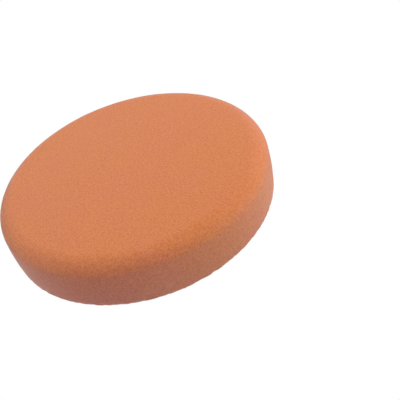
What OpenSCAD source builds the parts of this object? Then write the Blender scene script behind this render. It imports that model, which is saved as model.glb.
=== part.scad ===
// Foam polishing pad with a hook-and-loop back.
// The origin is the centre of the working face, and +Z runs through the foam to the loop face.
// The pad lies on its working face, as it does in use under a polisher.

/* [Foam disc] */
// Diameter of the foam disc
foam_d = 160; // [80:1:200]
// Thickness of the foam disc
foam_t = 30; // [20:0.5:50]
// Rounding of the working edge, measured across the face
edge_across = 11.5; // [2:0.5:15]
// Rounding of the working edge, measured up the side
edge_high = 8.5; // [2:0.5:12]
// Rounding of the edge round the loop side
back_round = 2.5; // [0.5:0.25:5]

/* [Hook-and-loop back] */
// Diameter of the loop cloth
cloth_d = 140; // [60:1:180]
// Thickness of the knitted ground of the loop cloth
cloth_t = 0.4; // [0.3:0.1:1]
// Height of the loops above the ground cloth
pile_t = 0.6; // [0.4:0.1:2]
// Distance from the edge of the ground cloth to the outermost loops
pile_inset = 0.3; // [0:0.1:1]

/* [Adhesive] */
// Thickness of the adhesive film between the foam and the cloth
film_t = 0.2; // [0.1:0.1:1]
// Distance that the film is squeezed out past the edge of the cloth
film_squeeze = 0.6; // [0:0.1:2]

/* [Hidden] */
$fn = 96;
quarter = 90;
edge_steps = 12;
foam_r = foam_d / 2;
cloth_r = cloth_d / 2;
film_r = cloth_r + film_squeeze;
pile_r = cloth_r - pile_inset;
film_z = foam_t;
cloth_z = film_z + film_t;
pile_z = cloth_z + cloth_t;

// Points of a quarter of an ellipse round [r, z], from the angle start to start + quarter.
function edge_points(r, z, across, high, start) = [
    for (i = [0:edge_steps])
        let (a = start + quarter * i / edge_steps)
        [r + across * cos(a), z + high * sin(a)]
];

// Half of the disc's section: flat face, wide soft working edge, upright wall, small back edge.
module foam_section() {
    working_edge = edge_points(foam_r - edge_across, edge_high, edge_across, edge_high, -quarter);
    back_edge = edge_points(foam_r - back_round, foam_t - back_round, back_round, back_round, 0);
    polygon(concat([[0, 0]], working_edge, back_edge, [[0, foam_t]]));
}

// One layer of the back, a flat disc that starts at height z.
module layer(radius, thickness, z) {
    translate([0, 0, z])
        cylinder(h = thickness, r = radius);
}

// Open-cell foam, moulded as one piece.
module foam_disc() {
    color("sandybrown")
        rotate_extrude()
            foam_section();
}

// Hot-melt film that holds the cloth to the foam and shows as a red line round it.
module adhesive_film() {
    color("firebrick")
        layer(film_r, film_t, film_z);
}

// Knitted ground of the loop cloth.
module backing_cloth() {
    color("pink")
        layer(cloth_r, cloth_t, cloth_z);
}

// Brushed loops that the hooks of the backing plate grip.
module loop_pile() {
    color("mistyrose")
        layer(pile_r, pile_t, pile_z);
}

foam_disc();
adhesive_film();
backing_cloth();
loop_pile();
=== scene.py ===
import math
import random

import bpy
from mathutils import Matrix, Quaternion, Vector, noise


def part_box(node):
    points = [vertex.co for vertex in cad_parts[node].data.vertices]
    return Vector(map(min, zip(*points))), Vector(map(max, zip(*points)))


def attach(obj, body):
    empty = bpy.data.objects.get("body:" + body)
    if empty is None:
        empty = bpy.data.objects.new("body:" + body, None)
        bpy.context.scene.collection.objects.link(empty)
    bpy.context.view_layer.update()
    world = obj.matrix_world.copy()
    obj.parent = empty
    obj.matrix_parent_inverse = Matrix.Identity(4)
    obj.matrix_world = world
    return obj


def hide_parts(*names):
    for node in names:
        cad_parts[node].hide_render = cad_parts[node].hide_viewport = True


# A foam polishing pad with a hook-and-loop back. It lies on its working face, with +Z towards the
# loop face, as in the CAD frame. Lengths are in metres, and the short ones are written as n * MM.
MM = 0.001

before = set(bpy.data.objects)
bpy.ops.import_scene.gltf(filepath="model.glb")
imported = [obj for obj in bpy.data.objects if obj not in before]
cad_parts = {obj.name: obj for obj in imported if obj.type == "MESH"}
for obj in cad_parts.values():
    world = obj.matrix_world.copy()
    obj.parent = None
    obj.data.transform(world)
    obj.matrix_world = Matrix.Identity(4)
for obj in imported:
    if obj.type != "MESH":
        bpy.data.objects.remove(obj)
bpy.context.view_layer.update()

# ---------------------------------------------------------------- sizes, from the CAD frame

foam_low, foam_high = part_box("foam_disc")
film_low, film_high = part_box("adhesive_film")
cloth_low, cloth_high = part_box("backing_cloth")
pile_low, pile_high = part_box("loop_pile")

FOAM_R = foam_high.x
FILM_R = film_high.x
CLOTH_R = cloth_high.x
PILE_R = pile_high.x

# ---------------------------------------------------------------- mesh helpers

# A plain end of a turned solid has rings at these shares of its radius.
PLAIN_RINGS = (1, 0.8, 0.55, 0.3, 0.1)
# A tube's ends are this share of its thickness.
TUBE_END = 0.6


def mesh_piece(name, points, faces, material, smooth=True):
    """A new object of this mesh, with one material."""
    mesh = bpy.data.meshes.new(name)
    mesh.from_pydata(points, [], faces)
    mesh.validate()
    mesh.polygons.foreach_set("use_smooth", [smooth] * len(mesh.polygons))
    mesh.materials.append(material)
    piece = bpy.data.objects.new(name, mesh)
    bpy.context.scene.collection.objects.link(piece)
    return piece


def disc_grid(count):
    """The corners of a count by count grid, moved from a square onto the unit disc at an even spacing.
    Returns the rows of (x, y), and the grid places round its rim, anticlockwise from -135 degrees."""
    rows = []
    for j in range(count + 1):
        b = 2 * j / count - 1
        row = []
        for i in range(count + 1):
            a = 2 * i / count - 1
            if a == 0 and b == 0:
                row.append((0.0, 0.0))
            elif abs(a) > abs(b):
                turn = math.pi / 4 * b / a
                row.append((a * math.cos(turn), a * math.sin(turn)))
            else:
                turn = math.pi / 4 * a / b
                row.append((b * math.sin(turn), b * math.cos(turn)))
        rows.append(row)
    rim = [(i, 0) for i in range(count)]
    rim += [(count, j) for j in range(count)]
    rim += [(i, count) for i in range(count, 0, -1)]
    rim += [(0, j) for j in range(count, 0, -1)]
    return rows, rim


def turned_solid(section, count, displace, fine_low=True, fine_high=True):
    """A closed solid of revolution whose rings have 4 * count points.
    section lists (radius, height, outward normal as (radial, upward)) from the lower rim to the upper one.
    A fine end is a count by count grid, and a plain one is closed with a few rings.
    displace(point, normal) gives how far a point moves along its normal."""
    rows, rim = disc_grid(count)
    points, faces = [], []

    def place(x, y, z, normal):
        here = Vector((x, y, z))
        points.append(here + displace(here, normal) * normal)
        return len(points) - 1

    def grid(radius, z, up):
        """One fine end. Returns the indices round its rim."""
        normal = Vector((0, 0, 1 if up else -1))
        index = [[place(x * radius, y * radius, z, normal) for x, y in row] for row in rows]
        for j in range(count):
            for i in range(count):
                quad = (index[j][i], index[j][i + 1], index[j + 1][i + 1], index[j + 1][i])
                faces.append(quad if up else quad[::-1])
        return [index[j][i] for i, j in rim]

    def ring(radius, z, outward, upward):
        placed = []
        for i, j in rim:
            x, y = rows[j][i]
            placed.append(place(x * radius, y * radius, z, Vector((x * outward, y * outward, upward))))
        return placed

    def plain(radius, z, up):
        """One plain end. Returns its rings from the lower side to the upper one."""
        side = 1 if up else -1
        rings = [ring(radius * share, z, 0, side) for share in PLAIN_RINGS]
        middle = place(0, 0, z, Vector((0, 0, side)))
        inmost = rings[-1]
        for k in range(len(inmost)):
            after = inmost[(k + 1) % len(inmost)]
            faces.append((inmost[k], after, middle) if up else (middle, after, inmost[k]))
        return rings if up else rings[::-1]

    low_r, low_z, high_r, high_z = *section[0][:2], *section[-1][:2]
    rings = [grid(low_r, low_z, up=False)] if fine_low else plain(low_r, low_z, up=False)
    rings += [ring(radius, z, *normal) for radius, z, normal in section[1:-1]]
    rings += [grid(high_r, high_z, up=True)] if fine_high else plain(high_r, high_z, up=True)
    for lower, upper in zip(rings, rings[1:]):
        join(faces, lower, upper)
    return points, faces


def join(faces, lower, upper):
    """Quads between two rings of the same length."""
    for k in range(len(lower)):
        after = (k + 1) % len(lower)
        faces.append((lower[k], lower[after], upper[after], upper[k]))


def arc(centre_r, centre_z, across, high, start, end, count):
    """Section points on a quarter ellipse from angle start to end, in degrees from the radial direction."""
    found = []
    for k in range(count + 1):
        t = math.radians(start + (end - start) * k / count)
        normal = Vector((math.cos(t) / across, math.sin(t) / high)).normalized()
        found.append((centre_r + across * math.cos(t), centre_z + high * math.sin(t), tuple(normal)))
    return found


def tube(points, faces, path, thickness, sides=3):
    """Adds a thin closed tube along a path, tapered a little towards both ends."""
    start = len(points)
    across = None
    for k, here in enumerate(path):
        ahead = path[min(k + 1, len(path) - 1)] - path[max(k - 1, 0)]
        ahead.normalize()
        if across is None:
            across = ahead.orthogonal().normalized()
        across = (across - ahead * across.dot(ahead)).normalized()
        other = ahead.cross(across)
        taper = TUBE_END + (1 - TUBE_END) * math.sin(math.pi * k / (len(path) - 1))
        for m in range(sides):
            turn = 2 * math.pi * m / sides
            points.append(here + thickness / 2 * taper * (across * math.cos(turn) + other * math.sin(turn)))
    for k in range(len(path) - 1):
        low = start + k * sides
        for m in range(sides):
            after = (m + 1) % sides
            faces.append((low + m, low + after, low + sides + after, low + sides + m))
    faces.append(tuple(range(start + sides - 1, start - 1, -1)))
    last = start + (len(path) - 1) * sides
    faces.append(tuple(range(last, last + sides)))


def smoothstep(value, low, high):
    """0 below low and 1 above high, with a smooth rise between them."""
    t = min(max((value - low) / (high - low), 0), 1)
    return t * t * (3 - 2 * t)


def rumple(point, *layers):
    """Noise displacement in metres: each layer is (height, size of its blobs), both in mm."""
    return MM * sum(height * noise.noise(point / (size * MM)) for height, size in layers)


# ---------------------------------------------------------------- materials


class Nodes:
    """A short way to write a node material: each call adds a node and returns it."""

    def __init__(self, name):
        self.material = bpy.data.materials.new(name)
        self.material.use_nodes = True
        self.tree = self.material.node_tree
        self.shader = self.tree.nodes["Principled BSDF"]
        self.place = self.tree.nodes.new("ShaderNodeTexCoord").outputs["Object"]

    def add(self, kind, links=None, **values):
        node = self.tree.nodes.new("ShaderNode" + kind)
        for key, value in values.items():
            setattr(node, key, value)
        for socket, source in (links or {}).items():
            if isinstance(source, bpy.types.NodeSocket):
                self.tree.links.new(source, node.inputs[socket])
            else:
                node.inputs[socket].default_value = source
        return node

    def noise(self, size, detail=2.0, roughness=0.5):
        """Noise whose blobs are about this size, from 0 to 1."""
        links = {"Vector": self.place, "Scale": 1 / size, "Detail": detail, "Roughness": roughness}
        return self.add("TexNoise", links).outputs["Fac"]

    def cells(self, size):
        """Distance from the middle of the nearest cell, as a share of how far apart the cells are."""
        node = self.add("TexVoronoi", {"Vector": self.place, "Scale": 1 / size}, feature="F1")
        return node.outputs["Distance"]

    def radius(self):
        """Distance from the pad's axis."""
        flat = self.add("VectorMath", {0: self.place, 1: (1, 1, 0)}, operation="MULTIPLY").outputs[0]
        return self.add("VectorMath", {0: flat}, operation="LENGTH").outputs["Value"]

    def height(self):
        """Height above the working face."""
        return self.add("SeparateXYZ", {0: self.place}).outputs["Z"]

    def ramp(self, value, low, high, bottom=0.0, top=1.0):
        """value from low..high, remapped to bottom..top."""
        links = {"Value": value, "From Min": low, "From Max": high, "To Min": bottom, "To Max": top}
        return self.add("MapRange", links).outputs["Result"]

    def centred(self, value, bottom, top):
        """Noise spread out over bottom..top: nearly all of it lies between 0.3 and 0.7."""
        return self.ramp(value, 0.3, 0.7, bottom, top)

    def times(self, first, second):
        return self.add("Math", {0: first, 1: second}, operation="MULTIPLY").outputs[0]

    def sum(self, *terms):
        total = terms[0]
        for term in terms[1:]:
            total = self.add("Math", {0: total, 1: term}, operation="ADD").outputs[0]
        return total

    def mix(self, share, first, second):
        node = self.tree.nodes.new("ShaderNodeMix")
        node.data_type = "RGBA"
        for key, source in (("Factor", share), ("A", first), ("B", second)):
            socket = next(s for s in node.inputs if s.name == key and s.enabled)
            if isinstance(source, bpy.types.NodeSocket):
                self.tree.links.new(source, socket)
            else:
                socket.default_value = source
        return next(s for s in node.outputs if s.enabled)

    def bump(self, height, distance):
        links = {"Height": height, "Distance": distance, "Strength": 1.0}
        return self.add("Bump", links).outputs["Normal"]

    def finish(self, **sockets):
        for name, source in sockets.items():
            socket = self.shader.inputs[name.replace("_", " ")]
            if isinstance(source, bpy.types.NodeSocket):
                self.tree.links.new(source, socket)
            else:
                socket.default_value = source
        return self.material


def rgb(red, green, blue):
    """A colour with full opacity, as the nodes' sockets take it."""
    return red, green, blue, 1


# The first colour of each pair is the darker one, in the pores or between the filaments.
FOAM_WARM = (rgb(0.803, 0.226, 0.046), rgb(0.951, 0.342, 0.094))
FOAM_COOL = (rgb(0.798, 0.216, 0.060), rgb(0.944, 0.328, 0.117))
FOAM_BACK_PAINTED_SHADE = rgb(0.82, 0.22, 0.042)
FOAM_RED_RING = rgb(0.58, 0.075, 0.018)
FILM_RED = (rgb(0.52, 0.050, 0.028), rgb(0.66, 0.105, 0.055))
GROUND_PINK = (rgb(0.98, 0.52, 0.46), rgb(0.99, 0.68, 0.62))
GROUND_DARK_RED = rgb(0.62, 0.11, 0.06)
BED_PINK = (rgb(0.84, 0.60, 0.58), rgb(0.95, 0.72, 0.69))
LOOP_PINK = (rgb(0.91, 0.69, 0.66), rgb(0.99, 0.81, 0.77))
# The rim's lighter pink is partly the cut edge's own colour and partly a painted highlight.
RIM_PINK_HIGHLIGHT = rgb(1.0, 0.71, 0.67)
FOAM_SHEEN = rgb(0.90, 0.92, 1.0)

# Where one colour gives way to another. The foam's darker painted back and the cloth's dark red go by
# height above the working face, and the red ring and the pile's lighter rim by distance from the axis.
BACK_START, BACK_FULL = foam_high.z - 1.2 * MM, foam_high.z - 0.6 * MM
DARK_RED_END, DARK_RED_FULL = cloth_high.z, cloth_high.z - 0.2 * MM
RED_RING_END, RED_RING_FULL = FILM_R + 7 * MM, FILM_R + 1.5 * MM
RIM_START, RIM_FULL = PILE_R - 2.2 * MM, PILE_R - 0.8 * MM
# How much of the back's darker colour shows: painted shade, to take off some of the sheen's light there.
BACK_SHADE_SHARE = 0.6


def foam_material():
    """Open-cell foam: fine cells with darker pores, a slow drift in its hue, a darker orange painted on its
    back as shade, to take off some of the sheen there, and a darker red ring on the back round the cloth."""
    n = Nodes("foam")
    cells = n.cells(0.5 * MM)
    grain = n.noise(1.1 * MM, detail=3.0)
    tone = n.sum(n.ramp(cells, 0.1, 0.7, -0.4, 0.4), n.centred(grain, 0.0, 1.0))
    patches = n.ramp(n.noise(36 * MM, detail=1.0), 0.35, 0.65, 0.0, 0.5)
    drift = n.sum(n.centred(n.noise(6 * MM), 0.0, 0.5), patches)
    skin = n.mix(drift, n.mix(tone, *FOAM_WARM), n.mix(tone, *FOAM_COOL))
    # The back is painted a darker orange: painted shade that takes off some of the sheen's light there.
    behind = n.ramp(n.height(), BACK_START, BACK_FULL)
    skin = n.mix(n.times(behind, BACK_SHADE_SHARE), skin, FOAM_BACK_PAINTED_SHADE)
    # A darker red ring on the back, full within 1.5 mm of the film and gone 7 mm out from it.
    near = n.ramp(n.radius(), RED_RING_END, RED_RING_FULL)
    red_ring = n.times(n.times(near, behind), n.centred(n.noise(2.5 * MM), 0.7, 1.0))
    relief = n.sum(n.ramp(cells, 0.0, 0.8), n.centred(grain, 0.0, 1.0))
    return n.finish(Base_Color=n.mix(red_ring, skin, FOAM_RED_RING), Roughness=0.95,
                    Normal=n.bump(relief, 0.09 * MM), Sheen_Weight=0.4, Sheen_Roughness=0.5,
                    Sheen_Tint=FOAM_SHEEN, Specular_IOR_Level=0.2)


def film_material():
    """Hot-melt film, dark red and a little glossy."""
    n = Nodes("adhesive")
    blotch = n.noise(1.6 * MM)
    return n.finish(Base_Color=n.mix(n.centred(blotch, 0.0, 1.0), *FILM_RED),
                    Roughness=n.centred(blotch, 0.35, 0.6), Normal=n.bump(blotch, 0.1 * MM))


def ground_material():
    """Knitted ground cloth, seen at its cut edge: pink at the top and dark red below, with a ragged line
    between.
    """
    n = Nodes("ground_cloth")
    yarn = n.noise(0.5 * MM, detail=3.0)
    ragged = n.ramp(n.noise(1.1 * MM), 0.2, 0.8, -0.1 * MM, 0.1 * MM)
    # The cut edge is dark red below its top 0.2 mm.
    dark_red = n.ramp(n.sum(n.height(), ragged), DARK_RED_END, DARK_RED_FULL)
    colour = n.mix(dark_red, n.mix(n.centred(yarn, 0.0, 1.0), *GROUND_PINK), GROUND_DARK_RED)
    return n.finish(Base_Color=colour, Roughness=0.8, Normal=n.bump(yarn, 0.1 * MM), Sheen_Weight=0.2,
                    Subsurface_Weight=0.6, Subsurface_Radius=(1, 0.8, 0.8), Subsurface_Scale=1.0 * MM)


def yarn_material(name, colours, size):
    """Brushed nylon yarn: fine filaments, a slow drift between the two colours, and a lighter, pinker rim
    where the knit was cut, partly its own colour and partly a painted highlight where the edge catches
    light."""
    n = Nodes(name)
    filaments = n.noise(size, detail=4.0, roughness=0.65)
    tone = n.sum(n.centred(filaments, -0.35, 0.35), n.centred(n.noise(3 * MM), 0.42, 0.58))
    # The rim is lighter and pinker: partly the cut edge's own colour, partly a painted highlight.
    rim = n.ramp(n.radius(), RIM_START, RIM_FULL)
    return n.finish(Base_Color=n.mix(rim, n.mix(tone, *colours), RIM_PINK_HIGHLIGHT), Roughness=0.85,
                    Normal=n.bump(filaments, 0.08 * MM), Sheen_Weight=0.5, Sheen_Roughness=0.4,
                    Subsurface_Weight=0.6, Subsurface_Radius=(1, 0.85, 0.85), Subsurface_Scale=1.2 * MM)


# ---------------------------------------------------------------- foam disc

EDGE_ACROSS = 9.5 * MM
EDGE_HIGH = 8.2 * MM
BACK_ROUND = 2.4 * MM
WALL_BULGE = 1.0 * MM
DIP_DEEP = 0.35 * MM
DIP_WIDE = 5 * MM
FOAM_GRID = 188
EDGE_STEPS = 22
WALL_STEP = 0.8 * MM
BACK_EDGE_STEPS = 7
BACK_STEP = 0.7 * MM
# The back's rings run on this far under the cloth.
TUCK = 1 * MM

# Unevenness, as (height, size of its blobs) in mm. The cut edge's is added towards the top of the wall.
SKIN_RELIEF = ((0.05, 1.4), (0.035, 4.5), (0.08, 17))
CUT_RELIEF = (0.28, 2.3)
CUT_START, CUT_FULL = foam_high.z - 5 * MM, foam_high.z - 1 * MM
# The back is flat as far out as the film, and fully uneven from the second radius on.
FLAT_END, UNEVEN_FULL = FILM_R + 0.3 * MM, FILM_R + 2 * MM
# A normal whose z is past this belongs to the working face or the back. What would be a bump on the
# working face is a dent, this share as deep.
LEVEL = 0.999
DENT = 0.2


def foam_relief(point, normal):
    """The foam's own unevenness. It is more uneven where the back edge was cut and lies flat under the film,
    and the flat part of the working face only goes inwards."""
    cut = smoothstep(point.z, CUT_START, CUT_FULL)
    rise = rumple(point, *SKIN_RELIEF) + cut * rumple(point, CUT_RELIEF)
    if normal.z > LEVEL:
        rise *= smoothstep(math.hypot(point.x, point.y), FLAT_END, UNEVEN_FULL)
    if normal.z < -LEVEL:
        rise = min(rise, -DENT * rise)
    return rise


def foam_section():
    """Flat face, wide soft working edge, a wall that bulges a little, a small back edge, and a shallow dip
    round the cloth, where the foam was pressed when it was glued."""
    z0, z1 = foam_low.z, foam_high.z
    edge_r, back_r = FOAM_R - EDGE_ACROSS, FOAM_R - BACK_ROUND
    wall_low, wall_high = z0 + EDGE_HIGH, z1 - BACK_ROUND
    section = arc(edge_r, wall_low, EDGE_ACROSS, EDGE_HIGH, -90, 0, EDGE_STEPS)
    steps = round((wall_high - wall_low) / WALL_STEP)
    for k in range(1, steps):
        section.append((FOAM_R, wall_low + (wall_high - wall_low) * k / steps, (1, 0)))
    section += arc(back_r, wall_high, BACK_ROUND, BACK_ROUND, 0, 90, BACK_EDGE_STEPS)
    inner_r = CLOTH_R - TUCK
    steps = round((back_r - inner_r) / BACK_STEP)
    for k in range(1, steps + 1):
        radius = back_r + (inner_r - back_r) * k / steps
        share = min(max((radius - FILM_R) / DIP_WIDE, 0), 1)
        section.append((radius, z1 - DIP_DEEP * math.sin(math.pi * share) ** 2, (0, 1)))
    middle, half = (z0 + z1) / 2, (z1 - z0) / 2
    return [(radius - WALL_BULGE * ((z - middle) / half) ** 2, z, normal) for radius, z, normal in section]


def make_foam():
    points, faces = turned_solid(foam_section(), FOAM_GRID, foam_relief, fine_high=False)
    piece = mesh_piece("foam_body", points, faces, foam_material())
    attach(piece, "root")
    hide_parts("foam_disc")


# ---------------------------------------------------------------- back

LAYER_GRID = 160
RIM_STEPS = 6
BED_RIM_STEPS = 8

# Unevenness, as (height, size of its blobs) in mm.
FILM_SQUEEZE = ((0.22, 2.2), (0.16, 9))
CLOTH_FRAY = ((0.07, 0.9), (0.1, 6))
BED_MATTING = ((0.08, 1.1), (0.02, 3.3))
CLOTH_TRIM = 0.05 * MM


def flat_section(radius, z0, z1, edge, steps):
    """The section of a thin disc whose edge is a half ellipse."""
    middle, high = (z0 + z1) / 2, (z1 - z0) / 2
    ends = arc(radius - edge, middle, edge, high, -90, 90, steps)
    return [(ends[0][0] - edge, z0, (0, -1))] + ends + [(ends[-1][0] - edge, z1, (0, 1))]


def make_film():
    """The film, squeezed out unevenly past the edge of the cloth."""

    def squeeze(point, normal):
        return math.hypot(normal.x, normal.y) * rumple(point, *FILM_SQUEEZE)

    section = flat_section(FILM_R, film_low.z, film_high.z, edge=0.2 * MM, steps=RIM_STEPS)
    points, faces = turned_solid(section, LAYER_GRID, squeeze, fine_low=False, fine_high=False)
    piece = mesh_piece("film_layer", points, faces, film_material())
    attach(piece, "root")
    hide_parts("adhesive_film")
    return piece


def make_cloth():
    """The knitted ground, cut a little unevenly."""

    def fray(point, normal):
        return math.hypot(normal.x, normal.y) * (rumple(point, *CLOTH_FRAY) - CLOTH_TRIM)

    section = flat_section(CLOTH_R, cloth_low.z, cloth_high.z, edge=0.3 * MM, steps=RIM_STEPS)
    points, faces = turned_solid(section, LAYER_GRID, fray, fine_low=False, fine_high=False)
    piece = mesh_piece("cloth_ground", points, faces, ground_material())
    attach(piece, "root")
    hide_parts("backing_cloth")
    return piece


# The knit has one loop to each wale and course, and a loop strays from its place by up to this share.
WALE = 1.45 * MM
COURSE = 1.4 * MM
STRAY = 0.35
YARN = 0.22 * MM
# A loop starts this deep in the bed, and keeps this far inside the pile's edge.
LOOP_ROOT = 0.12 * MM
LOOP_MARGIN = 0.5 * MM
# Its span is in mm. Its rise is a share of the way from its root to the top of the pile, and its lean to
# one side a share of its span.
LOOP_SPAN = (0.6, 1.0)
LOOP_RISE = (0.65, 1.0)
LOOP_LEAN = 0.35
LOOP_STEPS = 4
# The bed fills this share of the pile's height.
BED_SHARE = 0.7
BED_GRID = 220


def make_pile_bed():
    """The lower, matted part of the brushed loops."""
    bed_z = pile_low.z + BED_SHARE * (pile_high.z - pile_low.z)

    def matting(point, normal):
        return rumple(point, *BED_MATTING) if normal.z > 0.1 else 0

    section = flat_section(PILE_R, pile_low.z, bed_z, edge=0.7 * MM, steps=BED_RIM_STEPS)
    points, faces = turned_solid(section, BED_GRID, matting, fine_low=False)
    piece = mesh_piece("pile_bed", points, faces, yarn_material("pile_bed", BED_PINK, 0.5 * MM))
    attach(piece, "root")
    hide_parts("loop_pile")
    return piece, bed_z


def arch(root, side, top, steps):
    """Points along half an ellipse, from root - side over root + top to root + side."""
    turns = [math.pi * k / steps for k in range(steps + 1)]
    return [root - side * math.cos(t) + top * math.sin(t) for t in turns]


def loop_path(root, heading, span, rise):
    """Points along one loop, which leaves the bed, arches over and comes back into it."""
    ahead = Vector((math.cos(heading), math.sin(heading), 0))
    lean = Vector((-ahead.y, ahead.x, 0)) * LOOP_LEAN * span
    return arch(root, ahead * span / 2, lean + Vector((0, 0, rise)), LOOP_STEPS)


def make_pile_loops(bed_z):
    """The loops that stand out of the bed, one to each stitch of the knit, brushed every way."""
    draw = random.Random(7)
    points, faces = [], []
    low = bed_z - LOOP_ROOT
    reach = PILE_R - LOOP_MARGIN
    rows, columns = math.floor(reach / COURSE), math.floor(reach / WALE)
    for row in range(-rows, rows + 1):
        for column in range(-columns, columns + 1):
            x = (column + 0.5 * (row % 2) + draw.uniform(-STRAY, STRAY)) * WALE
            y = (row + draw.uniform(-STRAY, STRAY)) * COURSE
            heading = draw.uniform(0, 2 * math.pi)
            span = draw.uniform(*LOOP_SPAN) * MM
            rise = draw.uniform(*LOOP_RISE) * (pile_high.z - YARN / 2 - low)
            if math.hypot(x, y) < reach - span / 2:
                tube(points, faces, loop_path(Vector((x, y, low)), heading, span, rise), YARN)
    piece = mesh_piece("pile_loops", points, faces, yarn_material("pile_loops", LOOP_PINK, 0.4 * MM))
    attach(piece, "root")
    return piece


FRINGE_COUNT = 950
FRINGE_YARN = 0.14 * MM
FRINGE_ROOT = 0.35 * MM
FRINGE_STEPS = 5
FRINGE_STRAY = 0.4
FRINGE_HEIGHTS = (pile_high.z - 0.5 * MM, pile_high.z - 0.1 * MM)
# Half the width, the length and the rise of each loop's tip, in mm.
FRINGE_SIDE = (0.25, 0.45)
FRINGE_LENGTH = (0.5, 0.85)
FRINGE_LIFT = (-0.1, 0.05)


def make_fringe():
    """Yarn loops that stick out sideways where the cloth was cut."""
    draw = random.Random(19)
    points, faces = [], []
    for k in range(FRINGE_COUNT):
        turn = 2 * math.pi * (k + draw.uniform(-FRINGE_STRAY, FRINGE_STRAY)) / FRINGE_COUNT
        out = Vector((math.cos(turn), math.sin(turn), 0))
        side = Vector((-out.y, out.x, 0)) * draw.uniform(*FRINGE_SIDE) * MM
        root = out * (CLOTH_R - FRINGE_ROOT)
        root.z = draw.uniform(*FRINGE_HEIGHTS)
        length = draw.uniform(*FRINGE_LENGTH) * MM
        lift = draw.uniform(*FRINGE_LIFT) * MM
        path = arch(root, side, out * length + Vector((0, 0, lift)), FRINGE_STEPS)
        tube(points, faces, path, FRINGE_YARN, sides=4)
    # The fringe lies beyond RIM_FULL, so the rim's colour, partly a painted highlight, is all that shows on
    # it.
    material = yarn_material("edge_fringe", (RIM_PINK_HIGHLIGHT, RIM_PINK_HIGHLIGHT), 0.4 * MM)
    piece = mesh_piece("edge_fringe", points, faces, material)
    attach(piece, "root")
    return piece


def make_back():
    film = make_film()
    cloth = make_cloth()
    bed, bed_z = make_pile_bed()
    loops = make_pile_loops(bed_z)
    fringe = make_fringe()


# ---------------------------------------------------------------- table, light and camera

TABLE_HALF = 3
TABLE_PALE = rgb(0.86, 0.84, 0.80)
TABLE_GLOW = rgb(1, 0.98, 0.94)
GLOW_OPEN = 0.10
# The painted contact shadow lies between these distances from the axis, the fade into the surround further
# out.
TABLE_PAINTED_SHADOW = rgb(0.40, 0.34, 0.31)
GLOW_IN_PAINTED_SHADOW = 0.02
CONTACT_START, CONTACT_END = FOAM_R - 4 * MM, FOAM_R + 7 * MM
FADE_START, FADE_END = 0.14, 0.5


def make_table():
    """A pale light table. It shows only from above, so that the camera can look up at the working face, and
    it lets light through. It has a painted shadow under the pad's edge, and fades out into the white
    surround."""
    corners = [(x * TABLE_HALF, y * TABLE_HALF, 0) for x, y in ((-1, -1), (1, -1), (1, 1), (-1, 1))]
    n = Nodes("table")
    tree = n.tree
    tree.nodes.remove(n.shader)
    reach = n.add("VectorMath", {0: n.place}, operation="LENGTH").outputs["Value"]
    # Painted contact shadow: the table is darker and glows less under the pad's edge.
    shade = n.ramp(reach, CONTACT_START, CONTACT_END)
    diffuse = n.add("BsdfDiffuse", {"Color": n.mix(shade, TABLE_PAINTED_SHADOW, TABLE_PALE)})
    glow = n.add("Emission", {"Color": TABLE_GLOW, "Strength": n.ramp(shade, 0, 1, GLOW_IN_PAINTED_SHADOW, GLOW_OPEN)})
    lit = n.add("AddShader", {0: diffuse.outputs[0], 1: glow.outputs[0]})
    clear = n.add("BsdfTransparent")
    fade = n.ramp(reach, FADE_START, FADE_END)
    below = n.add("NewGeometry").outputs["Backfacing"]
    hidden = n.add("Math", {0: fade, 1: below}, operation="MAXIMUM").outputs[0]
    seen = n.add("MixShader", {0: hidden, 1: lit.outputs[0], 2: clear.outputs[0]})
    tree.links.new(seen.outputs[0], tree.nodes["Material Output"].inputs["Surface"])
    table = mesh_piece("table", corners, [(0, 1, 2, 3)], n.material, smooth=False)
    table.visible_diffuse = False
    table.visible_glossy = False
    table.visible_transmission = False
    table.visible_shadow = False


def make_light(name, azimuth, elevation, distance, size, watts, colour):
    """A square soft light aimed at the middle of the pad. Azimuth 0 is at -Y and 90 at +X, in degrees."""
    turn, lift = math.radians(azimuth), math.radians(elevation)
    toward = Vector((math.sin(turn) * math.cos(lift), -math.cos(turn) * math.cos(lift), math.sin(lift)))
    middle = Vector((0, 0, foam_high.z / 2))
    lamp = bpy.data.lights.new(name, "AREA")
    lamp.size = size
    lamp.energy = watts
    lamp.color = colour
    light = bpy.data.objects.new(name, lamp)
    light.location = middle + toward * distance
    light.rotation_mode = "QUATERNION"
    light.rotation_quaternion = toward.to_track_quat("Z", "Y")
    bpy.context.scene.collection.objects.link(light)


# The sky's colour straight down and straight up.
SKY_LOW = (0.185, 0.095, 0.106)
SKY_HIGH = (0.207, 0.274, 0.480)


def make_world():
    """A white surround: the camera sees it plain, and it lights the pad with a soft sky, cooler above."""
    world = bpy.data.worlds.new("studio")
    world.use_nodes = True
    tree = world.node_tree
    seen = tree.nodes["Background"]
    seen.inputs["Color"].default_value = (1, 1, 1, 1)
    direction = tree.nodes.new("ShaderNodeTexCoord")
    height = tree.nodes.new("ShaderNodeSeparateXYZ")
    sky = tree.nodes.new("ShaderNodeMapRange")
    sky.data_type = "FLOAT_VECTOR"
    vectors = {"From Min": (-1, -1, -1), "From Max": (1, 1, 1), "To Min": SKY_LOW, "To Max": SKY_HIGH}
    for socket in sky.inputs:
        if socket.enabled and socket.name in vectors:
            socket.default_value = vectors[socket.name]
    fill = tree.nodes.new("ShaderNodeBackground")
    path = tree.nodes.new("ShaderNodeLightPath")
    mix = tree.nodes.new("ShaderNodeMixShader")
    tree.links.new(direction.outputs["Generated"], height.inputs[0])
    tree.links.new(height.outputs["Z"], next(x for x in sky.inputs if x.enabled and x.name == "Vector"))
    tree.links.new(next(x for x in sky.outputs if x.enabled), fill.inputs["Color"])
    tree.links.new(path.outputs["Is Camera Ray"], mix.inputs[0])
    tree.links.new(fill.outputs[0], mix.inputs[1])
    tree.links.new(seen.outputs[0], mix.inputs[2])
    tree.links.new(mix.outputs[0], tree.nodes["World Output"].inputs["Surface"])
    bpy.context.scene.world = world


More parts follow.
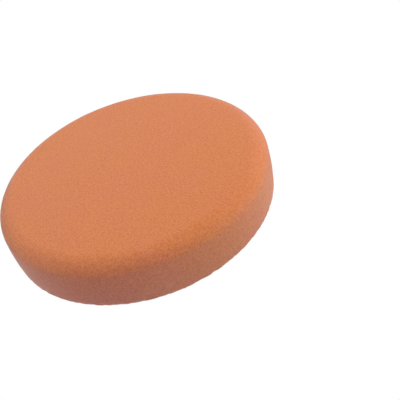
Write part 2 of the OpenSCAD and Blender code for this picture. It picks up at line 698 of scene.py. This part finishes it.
# The camera's place is given from the middle of the foam's loop side, and so is the point it aims at.
CAMERA_DISTANCE = 0.4099
CAMERA_ELEVATION = -38.088
CAMERA_ROLL = 162.92
CAMERA_AIM = (-31.87 * MM, -15.70 * MM)
CAMERA_LENS = 61.26
SENSOR = 36


def make_camera():
    """The camera looks up at the working face and is turned over, as the pad in the photograph is."""
    start = Vector((0, 0, foam_high.z))
    lift = math.radians(CAMERA_ELEVATION)
    camera = bpy.data.objects.new("camera", bpy.data.cameras.new("camera"))
    camera.location = start + CAMERA_DISTANCE * Vector((0, -math.cos(lift), math.sin(lift)))
    aim = start + Vector((*CAMERA_AIM, 0))
    look = (aim - camera.location).normalized()
    camera.rotation_mode = "QUATERNION"
    camera.rotation_quaternion = (look.to_track_quat("-Z", "Y")
                                  @ Quaternion((0, 0, 1), math.radians(CAMERA_ROLL)))
    camera.data.sensor_width = SENSOR
    camera.data.lens = CAMERA_LENS
    camera.data.clip_start = 0.01
    bpy.context.scene.collection.objects.link(camera)
    bpy.context.scene.camera = camera


make_camera()
make_world()
make_table()
# Four of the six lights come from below, where the main camera is. Their watts and tints, and the sky's,
# were fitted to the photo's front pad together with the foam's colours, and then changed.
make_light("key_below", azimuth=235, elevation=-51, distance=0.55, size=1.0, watts=1.5,
           colour=(1.0, 0.65, 0.65))
make_light("key_low", azimuth=253, elevation=-35, distance=0.9, size=0.5, watts=3.1,
           colour=(0.90, 1.0, 0.68))
make_light("side", azimuth=305, elevation=4, distance=0.8, size=0.5, watts=3.7,
           colour=(0.58, 0.69, 0.98))
make_light("fill_right", azimuth=60, elevation=-30, distance=0.8, size=0.5, watts=2.4,
           colour=(0.58, 0.59, 1.0))
make_light("fill_back", azimuth=120, elevation=-40, distance=0.8, size=0.6, watts=1.9,
           colour=(0.65, 1.0, 0.82))
make_light("key_above", azimuth=160, elevation=68, distance=0.9, size=0.7, watts=8.2,
           colour=(1.0, 0.93, 0.74))

make_foam()
make_back()

bpy.context.scene.view_settings.view_transform = "Standard"
